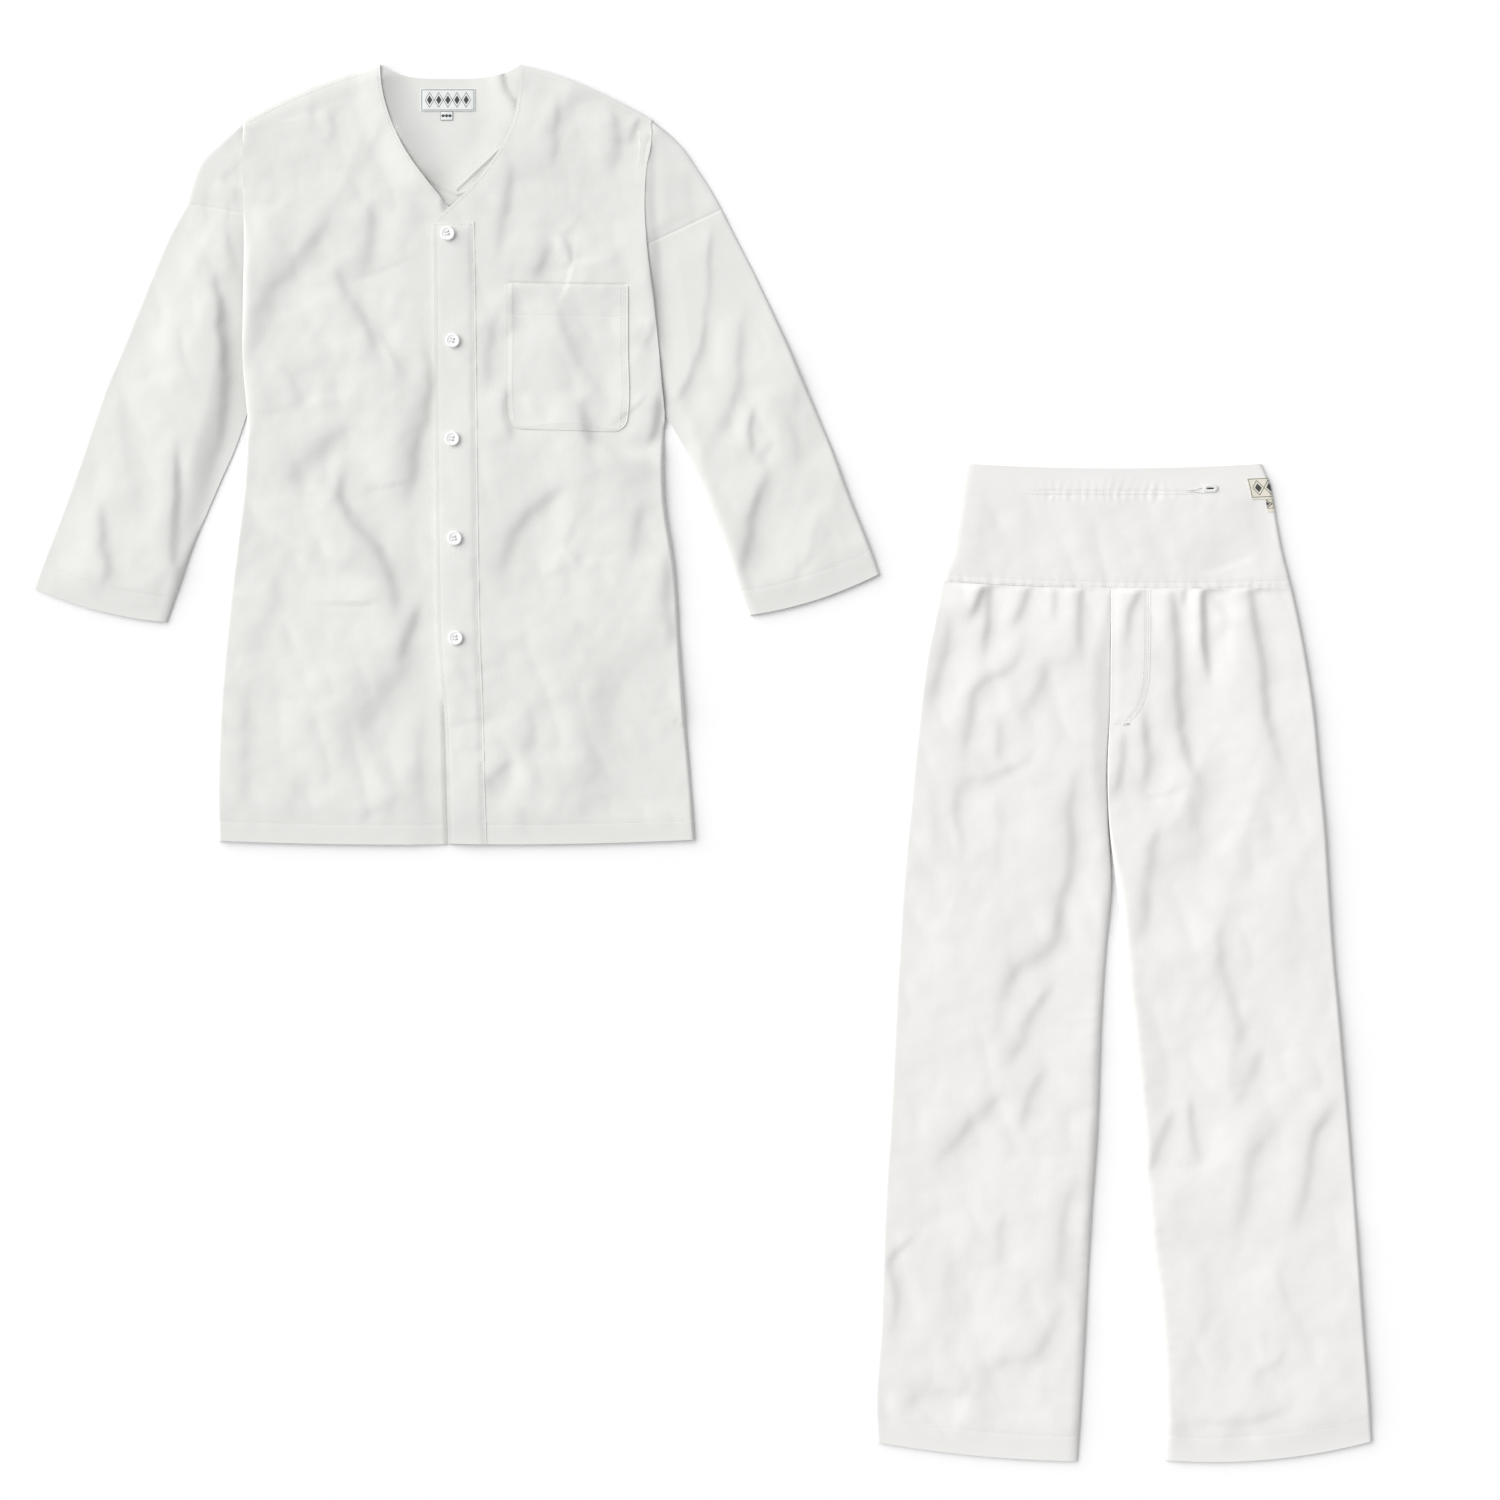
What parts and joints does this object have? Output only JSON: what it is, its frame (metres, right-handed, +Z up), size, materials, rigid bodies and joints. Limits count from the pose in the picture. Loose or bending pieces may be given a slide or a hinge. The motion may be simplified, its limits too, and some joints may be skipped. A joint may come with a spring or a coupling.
{
  "type": "festival shirt and trousers set",
  "caption": "Plain white cotton V-neck buttoned shirt with three-quarter sleeves and a chest pocket, and straight trousers with a wide waistband, both laid flat.",
  "frame": {"origin": "middle of the set's footprint, on the surface that both garments lie on", "axes": "+Z up from the surface; +Y along the garments, from the hems towards the neck; +X across, from the shirt towards the trousers"},
  "size_m": [1.34, 1.3988, 0.0129],
  "materials": {
    "cotton": "matt woven cotton",
    "label": "smooth woven tape",
    "button": "polished"
  },
  "bodies": {
    "root": {"shirt_back": "cotton", "shirt_front_right": "cotton", "shirt_front_left": "cotton", "placket": "cotton", "pocket": "cotton", "neck_facing_right": "cotton", "neck_facing_left": "cotton", "sleeve_right": "cotton", "sleeve_left": "cotton", "waistband": "cotton", "eyelet": "cotton", "leg_right": "cotton", "leg_left": "cotton", "fly": "cotton", "neck_label": "label", "size_tab": "label", "waist_label": "label", "waist_tab": "label", "button_1": "button", "button_2": "button", "button_3": "button", "button_4": "button", "button_5": "button"}
  },
  "joints": []
}
